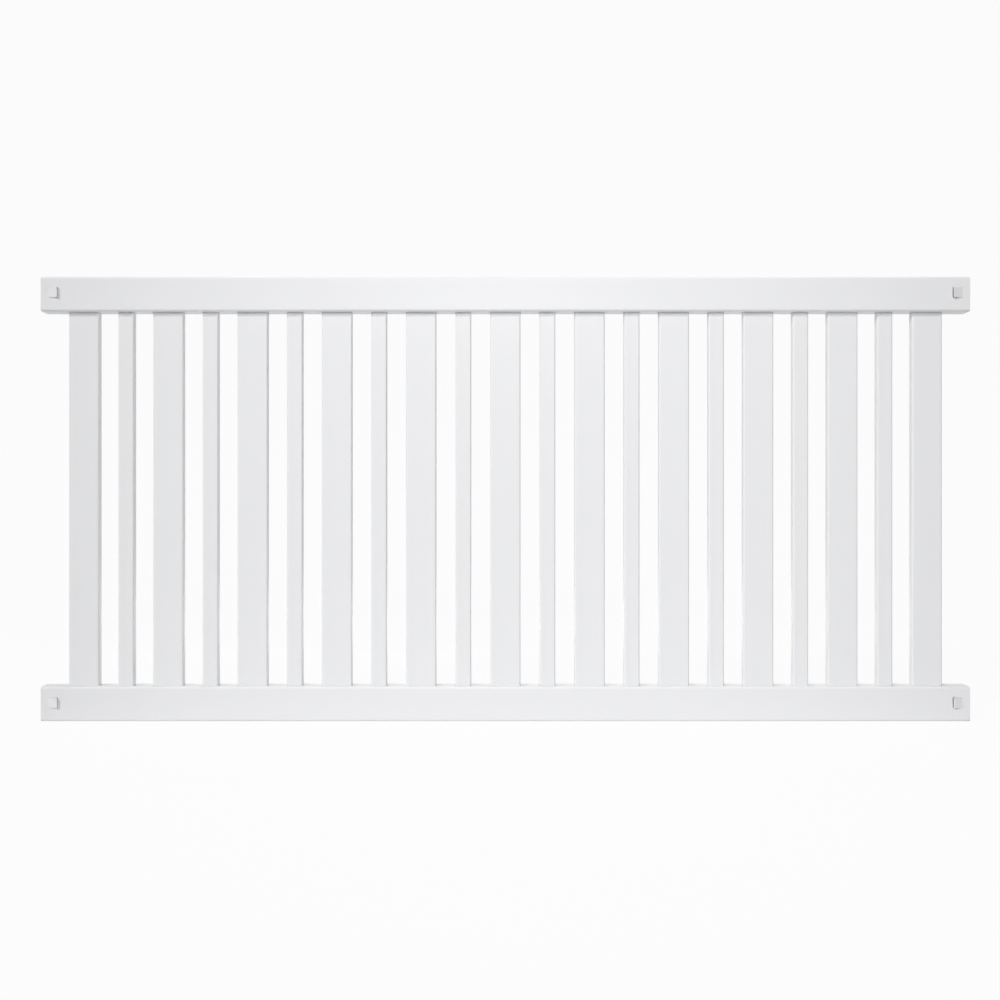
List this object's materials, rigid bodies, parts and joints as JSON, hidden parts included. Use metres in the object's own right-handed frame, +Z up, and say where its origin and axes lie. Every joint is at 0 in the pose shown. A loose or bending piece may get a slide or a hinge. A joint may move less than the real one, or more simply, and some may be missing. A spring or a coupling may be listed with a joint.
{
  "type": "picket fence panel",
  "caption": "Closed-top fence panel of hollow white vinyl: wide and narrow pickets stand in turn in slots routed in a top and a bottom rail, with lanced lock tabs at the rail ends.",
  "frame": {"origin": "middle of the bottom rail's underside, on the panel's centre line", "axes": "+X along the panel to the right as seen from the front, -Y out of the front face, +Z up along the pickets"},
  "size_m": [2.388, 0.0638, 1.143],
  "materials": {
    "rail_vinyl": "satin white rigid PVC extrusion",
    "picket_vinyl": "satin white rigid PVC extrusion"
  },
  "bodies": {
    "root": {"top_rail": "rail_vinyl", "bottom_rail": "rail_vinyl", "wide_picket_01": "picket_vinyl", "wide_picket_02": "picket_vinyl", "wide_picket_03": "picket_vinyl", "wide_picket_04": "picket_vinyl", "wide_picket_05": "picket_vinyl", "wide_picket_06": "picket_vinyl", "wide_picket_07": "picket_vinyl", "wide_picket_08": "picket_vinyl", "wide_picket_09": "picket_vinyl", "wide_picket_10": "picket_vinyl", "wide_picket_11": "picket_vinyl", "narrow_picket_01": "picket_vinyl", "narrow_picket_02": "picket_vinyl", "narrow_picket_03": "picket_vinyl", "narrow_picket_04": "picket_vinyl", "narrow_picket_05": "picket_vinyl", "narrow_picket_06": "picket_vinyl", "narrow_picket_07": "picket_vinyl", "narrow_picket_08": "picket_vinyl", "narrow_picket_09": "picket_vinyl", "narrow_picket_10": "picket_vinyl"}
  },
  "joints": []
}
